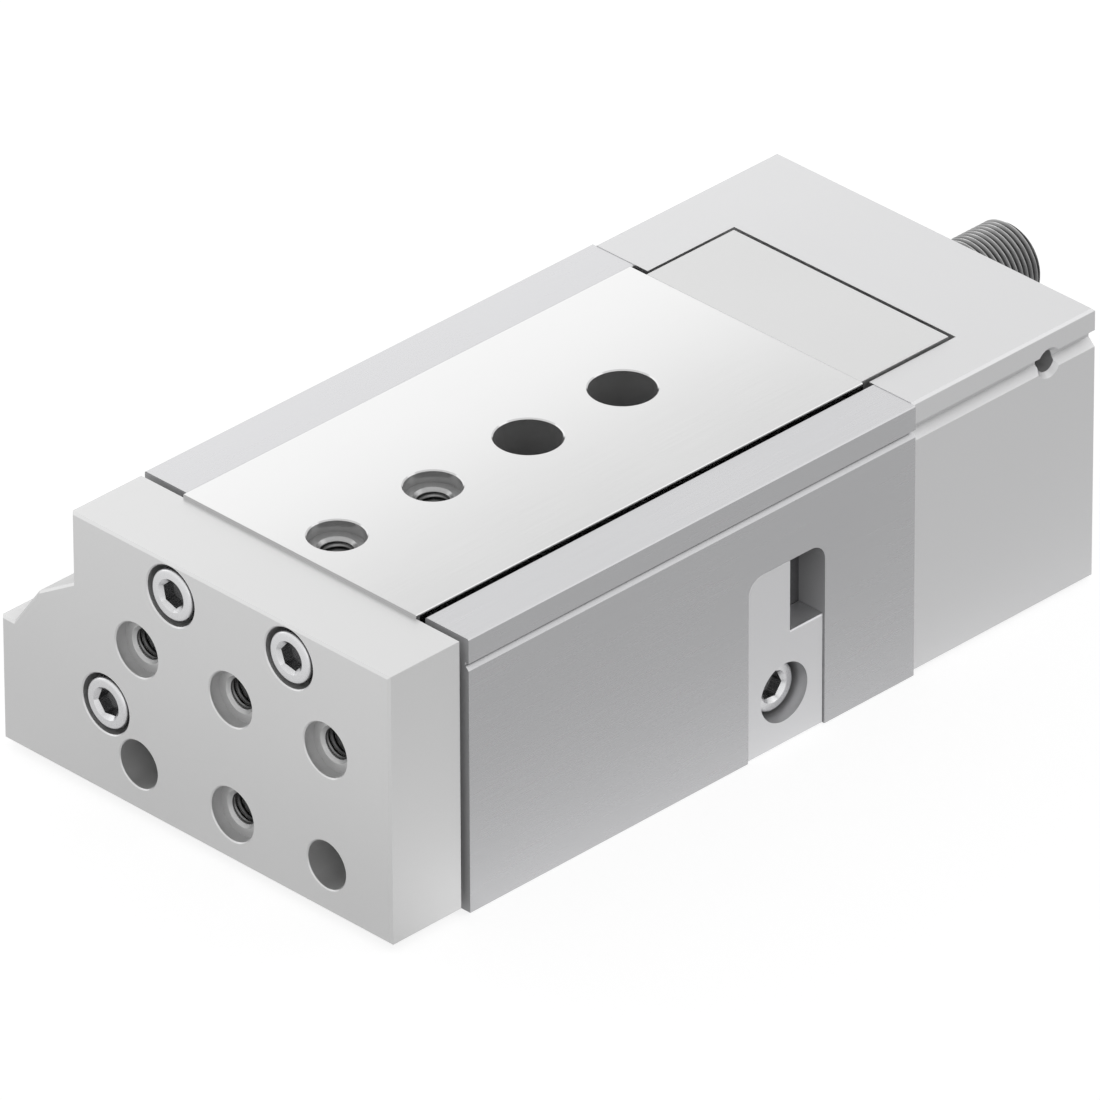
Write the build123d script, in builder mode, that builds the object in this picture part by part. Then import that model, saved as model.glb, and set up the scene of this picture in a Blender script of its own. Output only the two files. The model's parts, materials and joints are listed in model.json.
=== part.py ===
"""Pneumatic slide table: a ball-cage guided slide, driven by a cylinder at its side.

X runs across the table, +Y towards its rear, Z up. The slide moves towards -Y.
The origin is the centre of the mounting holes in the housing's bottom face.
"""
import os
from math import sqrt

from build123d import *

LOW = (Align.CENTER, Align.CENTER, Align.MIN)
HIGH = (Align.CENTER, Align.CENTER, Align.MAX)

# Clearances and broken edges
thread_gap = 0.05
running_gap = 0.05
seat_gap = 0.1
slide_gap = 0.6
floor_gap = 0.5
cage_gap = 0.4
screw_room = 0.5
head_room = 0.6
tap_spare = 2.5
edge_break = 0.4
fine_break = 0.2
ground_break = 0.1

# Housing
width = 67.2
height = 47.4
flank_proud = 0.6
housing_front = -56.5
housing_length = 94.3
cavity_depth = 17.9
hole_pitch = 20.0
housing_back = housing_front + housing_length
cavity_floor = height - cavity_depth
half_width = width / 2
housing_half = half_width + flank_proud

# Wing: the low bulge on the left, which holds the cylinder's side and the front stop
wing_width = 15.7
wing_top = 22.7
wing_flat = 2.7
wing_knee_in = 8.2
wing_knee_rise = 7.6
wing_shoulder_rise = 4.6
wing_left = -half_width - wing_width
wing_knee = wing_top + wing_knee_rise
wing_shoulder = wing_knee + wing_shoulder_rise

# Slot along the right flank, in the housing and deeper in the cover
slot_drop = 4.2
slot_height = 1.3
slot_depth = 0.8
cover_slot_drop = 3.7
cover_slot_height = 1.6
cover_slot_depth = 1.3
cover_pin_hole = 3.6
cover_pin_mouth = 0.8
cover_pin_depth = 5.0
cover_pin_from_back = 10.0
slot_top = height - slot_drop
cover_slot_top = height - cover_slot_drop
cover_slot_foot = cover_slot_top - cover_slot_height

# Yoke plate
yoke_gap = 1.3
yoke_thick = 14.5
yoke_lift = 1.1
yoke_back = housing_front - yoke_gap
yoke_front = yoke_back - yoke_thick

# Hole grid of the yoke and the slide
centring_d = 9.0
centring_deep = 2.1
thread_core = 5.2
thread_mouth = 0.5
grid_low = 9.1
plain_bore = 8.0
access_d = 10.6
grid_high = grid_low + hole_pitch
access_y = hole_pitch / 2

# Slide
slide_half = 24.6
slide_proud = 0.6
slide_short = 1.5
slide_flange = 5.0
slide_back = housing_back - slide_short
slide_low = cavity_floor + floor_gap
slide_top = height + slide_proud
slide_length = slide_back - yoke_back
cavity_half = slide_half + slide_gap

# Ball-cage guide; the cage travels half as far as the slide
stroke = 40.0
ball_d = 5.0
ball_pitch = 6.8
rail_high = 9.0
rail_thick = 3.7
rail_drop = 1.5
rail_inset = 1.0
cage_thick = 1.0
cage_high = 7.0
cage_end = 4.6
cage_inset = 0.8
rail_gap = cage_thick + 2 * cage_gap
slide_body_half = cavity_half - 2 * rail_thick - rail_gap
ball_x = slide_body_half + rail_thick + rail_gap / 2
ball_z = slide_top - slide_flange - rail_drop - rail_high / 2
apex_offset = ball_d / 2 * sqrt(2)
rail_front = housing_front + rail_inset
cage_front = rail_front + cage_inset + stroke / 2
cage_room = slide_back - cage_inset - stroke / 2 - cage_front
balls = int((cage_room - 2 * cage_end) / ball_pitch) + 1
cage_length = (balls - 1) * ball_pitch + 2 * cage_end
cage_middle = cage_front + cage_length / 2

# M5 socket screws of the yoke, the rod and the side insert
m5 = 5.0
m5_head = 8.5
m5_head_high = 5.0
m5_key = 4.0
yoke_head_room = 1.5
yoke_head_sunk = 0.1
yoke_screw_wall = 0.7
yoke_screw_in = 3.5
yoke_screw_reach = 12.0
m5_hole = m5 + screw_room
m5_counterbore = m5_head + yoke_head_room
yoke_screw_x = slide_body_half - yoke_screw_in
yoke_screw_z = height - yoke_screw_wall - m5_counterbore / 2

# Dowels between yoke and slide
dowel_d = 4.0
dowel_x = 6.0
dowel_drop = 12.0
dowel_half = 6.0
dowel_z = slide_top - dowel_drop

# Block that closes the slide's rear end, and its M4 screws
block_in_left = 3.3
block_in_right = 0.6
block_length = 19.1
block_grip = 8.0
m4 = 4.0
m4_head = 7.0
m4_head_high = 4.0
m4_key = 3.0
m4_reach = 8.0
block_screw_in = 5.0
block_screw_drop = 9.0
block_left = slide_half - block_in_left
block_right = slide_half - block_in_right
block_back = slide_back + block_length
block_screw_x = slide_body_half - block_screw_in
block_screw_z = slide_top - block_screw_drop

# Rear cover and its M3 screws
cover_length = 39.6
cover_proud = 0.1
cover_lift = 0.5
cover_grip = 8.0
recess_gap_left = 1.0
recess_gap_right = 0.5
recess_clear = 1.1
m3 = 3.0
m3_head = 5.5
m3_head_high = 3.0
m3_key = 2.5
m3_reach = 8.0
high_screw_drop = 11.4
low_screw_x = 13.0
low_screw_z = 7.0
cover_back = housing_back + cover_length
recess_back = block_back + recess_clear
high_screw_x = (cavity_half + half_width) / 2
high_screw_z = height - high_screw_drop

# Cylinder
bore_d = 20.0
rod_d = 8.0
rod_in = 6.7
bore_roof = 2.8
clip_thick = 1.0
clip_deep = 0.5
clip_wide = 2.25
clip_lip = 1.0
clip_mouth = 4.0
cap_length = 12.0
rod_seal_wide = 2.5
rod_seal_length = 3.0
ring_section = 1.8
plug_length = 8.0
piston_length = 14.0
piston_space = 4.0
piston_land = 1.2
piston_nut_key = 8.0
piston_nut_high = 4.0
nut_well_gap = 0.4
spigot_d = 5.0
seal_width = 2.4
seal_deep = 2.2
magnet_width = 3.6
magnet_deep = 3.0
rod_screw_reach = 12.0
port_core = 4.2
port_in = 3.5
rod_x = -half_width + rod_in
rod_z = cavity_floor - bore_roof - bore_d / 2
clip_groove = bore_d + 2 * clip_deep
cap_front = housing_front + clip_lip + clip_thick
cap_back = cap_front + cap_length
plug_back = housing_back - clip_lip - clip_thick
plug_front = plug_back - plug_length
piston_back = plug_front - piston_space
piston_front = piston_back - piston_length
port_front = cap_back + port_in
port_back = plug_front - piston_space / 2

# Front stop in the wing
stop_in = 7.6
stop_z = 8.0
stop_rod_d = 6.0
stop_bore = 11.0
stop_socket = 9.0
stop_end_gap = 1.8
stop_plug_length = 5.0
stop_plug_sunk = 3.0
collar_length = 6.0
collar_play = 0.5
nut_play = 0.3
collar_nut_high = 3.5
rod_overhang = 0.5
buffer_length = 6.0
buffer_gap = 0.5
stop_x = wing_left + stop_in
stop_plug_back = housing_back - stop_plug_sunk
stop_rod_back = stop_plug_back - stop_plug_length - stop_end_gap
collar_back = stop_rod_back - rod_overhang - collar_nut_high
collar_front = collar_back - collar_length
stop_shoulder = collar_front - stroke - buffer_gap - buffer_length

# Rear damper
damper_d = 14.0
damper_drop = 12.2
damper_out = 17.0
damper_pitch = 1.0
damper_thread_deep = 0.45
damper_end = 1.0
damper_nut_wall = 1.5
damper_nut_high = 4.0
plunger_d = 4.0
plunger_stroke = 10.0
plunger_guide = 11.0
plunger_spare = 1.0
plunger_head_d = 7.0
plunger_head_high = 2.6
adjuster_d = 6.0
adjuster_deep = 3.0
adjuster_slot = 1.0
damper_z = height - damper_drop
damper_back = cover_back + damper_out
plunger_front = block_back + seat_gap
damper_front = plunger_front + plunger_head_high + seat_gap
plunger_back = damper_front + plunger_guide + plunger_stroke

# Insert in the right flank, with the window in its upper rear corner
insert_front = 2.1
insert_wide = 16.4
insert_high = 31.8
insert_thick = 5.5
insert_foot_thick = 12.0
insert_foot_high = 18.0
insert_radius = 3.0
insert_sunk = 0.2
window_wide = 7.1
window_low = 19.3
insert_screw_in = 7.9
insert_screw_z = 9.1
insert_head_room = 1.5
insert_screw_sunk = 2.2
insert_screw_reach = 9.0
insert_back = insert_front + insert_wide
insert_middle = insert_front + insert_wide / 2
insert_screw_y = insert_front + insert_screw_in

# Mounting holes of the housing
base_thread_deep = 12.0
base_centring_deep = 2.1
through_d = 6.6
through_counterbore = 11.0
through_counterbore_deep = 6.5

# Places of what repeats, in the section (X, Z) or from above (X, Y)
cylinder_axis = (rod_x, rod_z)
stop_axis = (stop_x, stop_z)
damper_axis = (0, damper_z)
yoke_screws_at = [(-yoke_screw_x, yoke_screw_z), (yoke_screw_x, yoke_screw_z)]
dowels_at = [(-dowel_x, dowel_z), (dowel_x, dowel_z)]
block_screws_at = [(-block_screw_x, block_screw_z), (block_screw_x, block_screw_z)]
cover_screws_at = [
    (-high_screw_x, high_screw_z), (high_screw_x, high_screw_z),
    (-low_screw_x, low_screw_z), (low_screw_x, low_screw_z),
]
load_holes_at = [(-hole_pitch, grid_high), (0, grid_high), (hole_pitch, grid_high), (0, grid_low)]
plain_bores_at = [(-hole_pitch, grid_low), (hole_pitch, grid_low)]
slide_holes_at = [(0, -access_y - 2 * hole_pitch), (0, -access_y - hole_pitch)]
access_holes_at = [(0, -access_y), (0, access_y)]


def section(y):
    """Plane across the table at a station y, facing the front; its axes are X and Z."""
    return Plane.XZ.offset(-y)


def rear_view(y):
    """Plane across the table at a station y, facing the rear; its axes are -X and Z."""
    return Plane(origin=(0, y, 0), x_dir=(-1, 0, 0), z_dir=(0, 1, 0))


def wing_outline(half, low):
    """Corners of an outline with the wing on the left, from its half width and lowest edge."""
    return [
        (half, low),
        (half, height),
        (-half, height),
        (-half, wing_shoulder),
        (wing_left + wing_knee_in, wing_knee),
        (wing_left + wing_flat, wing_top),
        (wing_left, wing_top),
        (wing_left, low),
    ]


def socket_screws(plane, places, head_d, head_high, key, shank_d, length):
    """Socket-head screws, heads standing on the plane and shanks going down through it."""
    with BuildPart(plane) as screws:
        with Locations(*places):
            Cylinder(head_d / 2, head_high - edge_break, align=LOW)
            Cylinder(shank_d / 2, length, align=HIGH)
        with Locations(*[(x, y, head_high - edge_break) for x, y in places]):
            Cone(head_d / 2, head_d / 2 - edge_break, edge_break, align=LOW)
        with BuildSketch(plane.offset(head_high)):
            with Locations(*places):
                RegularPolygon(key / 2, 6, major_radius=False)
        extrude(amount=-head_high / 2, mode=Mode.SUBTRACT)
    return screws


def turned(place, steps, bores=()):
    """A turned piece about a place in the section; steps and bores are (front, back, diameter)."""
    with BuildPart() as piece:
        for stretches, mode in ((steps, Mode.ADD), (bores, Mode.SUBTRACT)):
            for front, back, across in stretches:
                with BuildSketch(section(back)):
                    with Locations(place):
                        Circle(across / 2)
                extrude(amount=back - front, mode=mode)
    return piece


def mouths(plane, places, across, deep):
    """Cones that open the mouths of holes in a face, for cutting."""
    with BuildPart() as cones:
        with Locations(plane):
            with Locations(*places):
                Cone(across / 2, across / 2 + deep, deep, align=HIGH)
    return cones.part


def hex_nut(y_back, place, key, length, hole):
    """A plain nut about a place in the section, flats up and down."""
    with BuildPart() as piece:
        with BuildSketch(section(y_back)):
            with Locations(place):
                RegularPolygon(key / 2, 6, major_radius=False)
                Circle(hole / 2, mode=Mode.SUBTRACT)
        extrude(amount=length)
    return piece


def seal_ring(y_middle, place, outer, wire):
    """An O-ring about a place in the section."""
    with BuildPart(section(y_middle)) as piece:
        with Locations(place):
            Torus((outer - wire) / 2, wire / 2)
    return piece


# Housing: the profile, the slide's cavity, the bores along it and the mounting holes below
under = Plane(origin=(0, 0, 0), x_dir=(1, 0, 0), z_dir=(0, 0, -1))
flank = Plane.YZ.offset(housing_half)

with BuildPart() as housing:
    with BuildSketch(section(housing_back)):
        with BuildLine():
            Polyline(*wing_outline(housing_half, 0), close=True)
        make_face()
    extrude(amount=housing_length)
    with BuildSketch(section(housing_back)):
        with Locations((0, cavity_floor)):
            Rectangle(2 * cavity_half, height, align=(Align.CENTER, Align.MIN))
    extrude(amount=housing_length, mode=Mode.SUBTRACT)
    chamfer(housing.edges().filter_by(Axis.Y).group_by(Axis.Z)[-1], fine_break)
    # Slot along the right flank
    with BuildSketch(section(housing_back)):
        with BuildLine():
            Polyline(
                (housing_half + slot_depth, slot_top),
                (housing_half - slot_depth, slot_top),
                (housing_half - slot_depth, slot_top - slot_height + slot_depth),
                (housing_half + slot_depth, slot_top - slot_height - slot_depth),
                close=True,
            )
        make_face()
    extrude(amount=housing_length, mode=Mode.SUBTRACT)
    # Cylinder bore with a clip groove near each end
    with Locations(section(housing_back)):
        with Locations(cylinder_axis):
            Cylinder(bore_d / 2, housing_length, align=LOW, mode=Mode.SUBTRACT)
    for groove_back in (cap_front, housing_back - clip_lip):
        with Locations(section(groove_back)):
            with Locations(cylinder_axis):
                Cylinder(clip_groove / 2, clip_thick, align=LOW, mode=Mode.SUBTRACT)
    # Bores for the stop rod
    with Locations(section(housing_back)):
        with Locations(stop_axis):
            Cylinder(stop_rod_d / 2 + running_gap, housing_length, align=LOW, mode=Mode.SUBTRACT)
            Cylinder(stop_bore / 2, housing_back - stop_shoulder, align=LOW, mode=Mode.SUBTRACT)
    # Air ports through the wing's outer face into the cylinder
    with Locations(Plane.YZ.offset(wing_left)):
        with Locations((port_front, rod_z), (port_back, rod_z)):
            Cylinder(port_core / 2, rod_x - wing_left, align=LOW, mode=Mode.SUBTRACT)
    # Pocket for the insert in the right flank
    with BuildSketch(flank):
        with Locations((insert_middle, 0)):
            Rectangle(insert_wide, insert_high + seat_gap, align=(Align.CENTER, Align.MIN))
        fillet(vertices().group_by(Axis.Y)[-1], insert_radius)
    extrude(amount=-insert_thick, mode=Mode.SUBTRACT)
    with BuildSketch(flank):
        with Locations((insert_middle, 0)):
            Rectangle(insert_wide, insert_foot_high, align=(Align.CENTER, Align.MIN))
    extrude(amount=-insert_foot_thick, mode=Mode.SUBTRACT)
    with Locations(Plane.YZ.offset(housing_half - insert_foot_thick)):
        with Locations((insert_screw_y, insert_screw_z)):
            Hole(m5 / 2 + thread_gap, insert_screw_reach + tap_spare)
    # Mounting holes: two through the floor from above, four tapped from below
    with Locations(Plane.XY.offset(cavity_floor)):
        with Locations(*access_holes_at):
            CounterBoreHole(through_d / 2, through_counterbore / 2, through_counterbore_deep)
    with Locations(under):
        with GridLocations(hole_pitch, 2 * hole_pitch, 2, 2):
            CounterBoreHole(thread_core / 2, centring_d / 2, base_centring_deep, base_thread_deep)
    # Screw holes for the cover
    with Locations(rear_view(housing_back)):
        with Locations(*cover_screws_at):
            Hole(m3 / 2 + thread_gap, m3_reach + tap_spare)

# Rear cover: closes the housing, with a recess for the slide's rear end
cover_flank = Plane.YZ.offset(half_width)
cover_pin_at = [(cover_back - cover_pin_from_back, cover_slot_foot)]

with BuildPart() as rear_cover:
    with BuildSketch(section(cover_back)):
        with BuildLine():
            Polyline(
                (half_width, cover_lift),
                (half_width, cover_slot_foot - cover_slot_depth),
                (half_width - cover_slot_depth, cover_slot_foot),
                (half_width - cover_slot_depth, cover_slot_top),
                (half_width, cover_slot_top),
                (half_width, height + cover_proud),
                (-half_width, height + cover_proud),
                (-half_width, cover_lift),
                close=True,
            )
        make_face()
    extrude(amount=cover_length)
    back_edges = rear_cover.faces().sort_by(Axis.Y)[-1].edges()
    top_edges = rear_cover.edges().filter_by(Axis.Y).group_by(Axis.Z)[-1]
    chamfer(back_edges.group_by(Axis.Z)[-1] + top_edges, edge_break)
    with Locations(Plane.XY.offset(cavity_floor)):
        with Locations((-block_left - recess_gap_left, housing_back)):
            Box(
                block_left + block_right + recess_gap_left + recess_gap_right,
                recess_back - housing_back,
                height,
                align=(Align.MIN, Align.MIN, Align.MIN),
                mode=Mode.SUBTRACT,
            )
    with Locations(rear_view(cover_back)):
        with Locations((0, damper_z)):
            Hole(damper_d / 2 + thread_gap, cover_length)
        with Locations(*cover_screws_at):
            CounterBoreHole((m3 + screw_room) / 2, (m3_head + head_room) / 2, cover_length - cover_grip)
    with Locations(cover_flank):
        with Locations(*cover_pin_at):
            Hole(cover_pin_hole / 2, cover_pin_depth)
    add(mouths(cover_flank, cover_pin_at, cover_pin_hole, cover_pin_mouth), mode=Mode.SUBTRACT)

# Insert of the right flank: a foot with the screw, and a plate cut away for the window
with BuildPart() as side_insert:
    with BuildSketch(Plane.YZ.offset(housing_half - insert_sunk)):
        with Locations((insert_middle, seat_gap)):
            Rectangle(
                insert_wide - 2 * seat_gap, insert_high - seat_gap, align=(Align.CENTER, Align.MIN)
            )
        fillet(vertices().group_by(Axis.Y)[-1], insert_radius)
        with Locations((insert_back, window_low)):
            Rectangle(window_wide, insert_high, align=(Align.MAX, Align.MIN), mode=Mode.SUBTRACT)
    extrude(amount=-(insert_thick - insert_sunk - seat_gap))
    with BuildSketch(Plane.YZ.offset(housing_half - insert_sunk)):
        with Locations((insert_middle, seat_gap)):
            Rectangle(
                insert_wide - 2 * seat_gap,
                insert_foot_high - 2 * seat_gap,
                align=(Align.CENTER, Align.MIN),
            )
    extrude(amount=-(insert_foot_thick - insert_sunk))
    outline_edges = side_insert.faces().sort_by(Axis.X)[-1].outer_wire().edges()
    chamfer(outline_edges, fine_break)
    with Locations(Plane.YZ.offset(housing_half - insert_sunk)):
        with Locations((insert_screw_y, insert_screw_z)):
            CounterBoreHole(
                m5_hole / 2,
                (m5_head + insert_head_room) / 2,
                insert_screw_sunk + m5_head_high,
                insert_foot_thick,
            )

insert_screw_seat = housing_half - insert_sunk - insert_screw_sunk - m5_head_high
insert_screw = socket_screws(
    Plane.YZ.offset(insert_screw_seat), [(insert_screw_y, insert_screw_z)],
    m5_head, m5_head_high, m5_key, m5,
    insert_screw_seat - (housing_half - insert_foot_thick) + insert_screw_reach,
)

# Yoke plate: joins the slide, the piston rod and the stop rod
with BuildPart() as yoke:
    with BuildSketch(section(yoke_back)):
        with BuildLine():
            Polyline(*wing_outline(half_width, yoke_lift), close=True)
        make_face()
    extrude(amount=yoke_thick)
    chamfer(yoke.faces().sort_by(Axis.Y)[0].edges(), edge_break)
    with Locations(section(yoke_front)):
        with Locations(*yoke_screws_at, cylinder_axis):
            CounterBoreHole(m5_hole / 2, m5_counterbore / 2, m5_head_high + yoke_head_sunk)
        with Locations(*load_holes_at):
            CounterBoreHole(thread_core / 2, centring_d / 2, centring_deep)
        with Locations(*plain_bores_at):
            Hole(plain_bore / 2)
    for into, places, across, deep in (
        (0, [*yoke_screws_at, cylinder_axis], m5_counterbore, fine_break),
        (0, load_holes_at, centring_d, fine_break),
        (0, plain_bores_at, plain_bore, fine_break),
        (centring_deep, load_holes_at, thread_core, thread_mouth),
    ):
        add(mouths(section(yoke_front + into), places, across, deep), mode=Mode.SUBTRACT)
    with Locations(rear_view(yoke_back)):
        with Locations((-stop_x, stop_z)):
            Hole(stop_rod_d / 2 + thread_gap, stop_socket)
        with Locations(*dowels_at):
            Hole(dowel_d / 2 + thread_gap, dowel_half)

screw_seat = section(yoke_front + yoke_head_sunk + m5_head_high)
yoke_screw_grip = yoke_thick - yoke_head_sunk - m5_head_high
yoke_screws = socket_screws(
    screw_seat, yoke_screws_at, m5_head, m5_head_high, m5_key, m5, yoke_screw_grip + yoke_screw_reach
)
rod_screw = socket_screws(
    screw_seat, [cylinder_axis], m5_head, m5_head_high, m5_key, m5, yoke_screw_grip + rod_screw_reach
)

# Slide: a flanged bar with the load holes in its top
with BuildPart() as slide:
    with BuildSketch(section(slide_back)):
        with Locations((0, slide_top)):
            Rectangle(2 * slide_half, slide_flange, align=(Align.CENTER, Align.MAX))
            Rectangle(2 * slide_body_half, slide_top - slide_low, align=(Align.CENTER, Align.MAX))
    extrude(amount=slide_length)
    with Locations(Plane.XY.offset(slide_top)):
        with Locations(*access_holes_at):
            Hole(access_d / 2)
        with Locations(*slide_holes_at):
            CounterBoreHole(thread_core / 2, centring_d / 2, centring_deep)
    chamfer(slide.edges().filter_by(Axis.Y).group_by(Axis.Z)[-1], ground_break)
    for into, places, across, deep in (
        (0, access_holes_at, access_d, fine_break),
        (0, slide_holes_at, centring_d, fine_break),
        (centring_deep, slide_holes_at, thread_core, thread_mouth),
    ):
        add(mouths(Plane.XY.offset(slide_top - into), places, across, deep), mode=Mode.SUBTRACT)
    with Locations(section(yoke_back)):
        with Locations(*yoke_screws_at):
            Hole(m5 / 2 + thread_gap, yoke_screw_reach + tap_spare)
        with Locations(*dowels_at):
            Hole(dowel_d / 2 + thread_gap, dowel_half)
    with Locations(rear_view(slide_back)):
        with Locations(*block_screws_at):
            Hole(m4 / 2 + thread_gap, m4_reach + tap_spare)

with BuildPart(section(yoke_back + dowel_half)) as yoke_dowels:
    with Locations(*dowels_at):
        Cylinder(dowel_d / 2, 2 * dowel_half, align=LOW)

# Block behind the slide, which meets the damper's plunger
with BuildPart() as slide_end_block:
    with BuildSketch(section(block_back)):
        with Locations((-block_left, slide_top)):
            Rectangle(block_left + block_right, slide_flange, align=(Align.MIN, Align.MAX))
        with Locations((0, slide_top)):
            Rectangle(2 * slide_body_half, slide_top - slide_low, align=(Align.CENTER, Align.MAX))
    extrude(amount=block_length)
    chamfer(slide_end_block.faces().sort_by(Axis.Z)[-1].edges(), fine_break)
    with Locations(rear_view(block_back)):
        with Locations(*block_screws_at):
            CounterBoreHole((m4 + screw_room) / 2, (m4_head + head_room) / 2, block_length - block_grip)

end_block_screws = socket_screws(
    rear_view(slide_back + block_grip), block_screws_at,
    m4_head, m4_head_high, m4_key, m4, block_grip + m4_reach,
)
cover_screws = socket_screws(
    rear_view(housing_back + cover_grip), cover_screws_at,
    m3_head, m3_head_high, m3_key, m3, cover_grip + m3_reach,
)


def rail(side, back_x, face_x, y_back, length):
    """A hardened rail whose V groove faces the balls."""
    mouth = apex_offset - abs(ball_x - face_x)
    inward = 1 if ball_x > face_x else -1
    with BuildPart(section(y_back)) as piece:
        with BuildSketch(section(y_back)):
            with BuildLine():
                Polyline(
                    (side * back_x, ball_z - rail_high / 2),
                    (side * back_x, ball_z + rail_high / 2),
                    (side * face_x, ball_z + rail_high / 2),
                    (side * face_x, ball_z + mouth),
                    (side * (face_x - inward * mouth), ball_z),
                    (side * face_x, ball_z - mouth),
                    (side * face_x, ball_z - rail_high / 2),
                    close=True,
                )
            make_face()
        extrude(amount=length)
    return piece


def cage(side):
    """A flat strip that spaces the balls."""
    with BuildPart() as piece:
        with Locations((side * ball_x, cage_middle, ball_z)):
            Box(cage_thick, cage_length, cage_high)
        with Locations(Plane.YZ.offset(side * ball_x)):
            with Locations((cage_middle, ball_z)):
                with GridLocations(ball_pitch, 1, balls, 1):
                    Cylinder(ball_d / 2 + running_gap, 2 * cage_thick, mode=Mode.SUBTRACT)
    return piece


def ball_row(side):
    """The balls of one cage, a hair under the size that their grooves allow."""
    with BuildPart(Plane.YZ.offset(side * ball_x)) as piece:
        with Locations((cage_middle, ball_z)):
            with GridLocations(ball_pitch, 1, balls, 1):
                Sphere(ball_d / 2 - running_gap / 2)
    return piece


outer_face = cavity_half - rail_thick
inner_face = slide_body_half + rail_thick
outer_back = slide_back - rail_inset
outer_length = outer_back - rail_front
inner_length = slide_back - rail_front
guides = {}
for side, hand in ((-1, "left"), (1, "right")):
    guides["outer_rail_" + hand] = rail(side, cavity_half, outer_face, outer_back, outer_length)
    guides["inner_rail_" + hand] = rail(side, slide_body_half, inner_face, slide_back, inner_length)
    guides["ball_cage_" + hand] = cage(side)
    guides["balls_" + hand] = ball_row(side)

# Cylinder, from its front cap to its rear plug
cap_middle = (cap_front + cap_back) / 2
plug_middle = (plug_front + plug_back) / 2
ring_bed = bore_d - 2 * ring_section
rod_hole = rod_d + 2 * running_gap
bore_fit = bore_d - 2 * running_gap
rod_seal_d = rod_d + 2 * rod_seal_wide
rod_cap = turned(
    cylinder_axis,
    [
        (cap_front, cap_back, ring_bed),
        (cap_front, cap_middle - ring_section / 2, bore_fit),
        (cap_middle + ring_section / 2, cap_back, bore_fit),
    ],
    [
        (cap_front, cap_back, rod_hole),
        (cap_back - rod_seal_length, cap_back, rod_seal_d),
    ],
)
rod_seal = turned(
    cylinder_axis,
    [(cap_back - rod_seal_length, cap_back, rod_seal_d - running_gap)],
    [(cap_back - rod_seal_length, cap_back, rod_hole)],
)
cylinder_plug = turned(
    cylinder_axis,
    [
        (plug_front, plug_back, ring_bed),
        (plug_front, plug_middle - ring_section / 2, bore_fit),
        (plug_middle + ring_section / 2, plug_back, bore_fit),
    ],
)
cap_o_ring = seal_ring(cap_middle, cylinder_axis, bore_fit, ring_section - running_gap)
plug_o_ring = seal_ring(plug_middle, cylinder_axis, bore_fit, ring_section - running_gap)


def clip(y_back):
    """A retaining ring sprung into its groove, with the gap that lets it close."""
    with BuildPart() as piece:
        with BuildSketch(section(y_back)):
            with Locations(cylinder_axis):
                Circle(clip_groove / 2 - running_gap)
                Circle(clip_groove / 2 - clip_wide, mode=Mode.SUBTRACT)
                Rectangle(clip_mouth, clip_groove, align=(Align.CENTER, Align.MAX), mode=Mode.SUBTRACT)
        extrude(amount=clip_thick)
    return piece


cap_clip = clip(cap_front)
plug_clip = clip(housing_back - clip_lip)

# Piston: its seals in two grooves, its magnet between them, and the rod's nut sunk in its back
magnet_front = (piston_front + piston_back - magnet_width) / 2
magnet_back = magnet_front + magnet_width
front_seal_at = piston_front + piston_land
back_seal_at = piston_back - piston_land - seal_width
seal_inner = bore_d - 2 * seal_deep
magnet_inner = bore_d - 2 * magnet_deep
spigot_hole = spigot_d + 2 * thread_gap
nut_well = piston_nut_key * 2 / sqrt(3) + 2 * nut_well_gap
piston = turned(
    cylinder_axis,
    [
        (piston_front, piston_back, magnet_inner),
        (piston_front, magnet_front, seal_inner),
        (magnet_back, piston_back, seal_inner),
        (piston_front, front_seal_at, bore_fit),
        (front_seal_at + seal_width, magnet_front, bore_fit),
        (magnet_back, back_seal_at, bore_fit),
        (back_seal_at + seal_width, piston_back, bore_fit),
    ],
    [
        (piston_front, piston_back, spigot_hole),
        (piston_back - piston_nut_high, piston_back, nut_well),
    ],
)
with BuildPart() as piston_seals:
    for seal_front in (front_seal_at, back_seal_at):
        with BuildSketch(section(seal_front + seal_width - seat_gap / 2)):
            with Locations(cylinder_axis):
                Circle(bore_fit / 2)
                Circle(seal_inner / 2 + running_gap, mode=Mode.SUBTRACT)
        extrude(amount=seal_width - seat_gap)
piston_magnet = turned(
    cylinder_axis,
    [(magnet_front + seat_gap / 2, magnet_back - seat_gap / 2, bore_fit - 2 * running_gap)],
    [(magnet_front + seat_gap / 2, magnet_back - seat_gap / 2, magnet_inner + 2 * running_gap)],
)
piston_rod = turned(
    cylinder_axis,
    [(yoke_back, piston_front, rod_d), (piston_front, piston_back, spigot_d)],
    [(yoke_back, yoke_back + rod_screw_reach + tap_spare, m5 + 2 * thread_gap)],
)
piston_nut = hex_nut(piston_back, cylinder_axis, piston_nut_key, piston_nut_high, spigot_hole)

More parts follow.
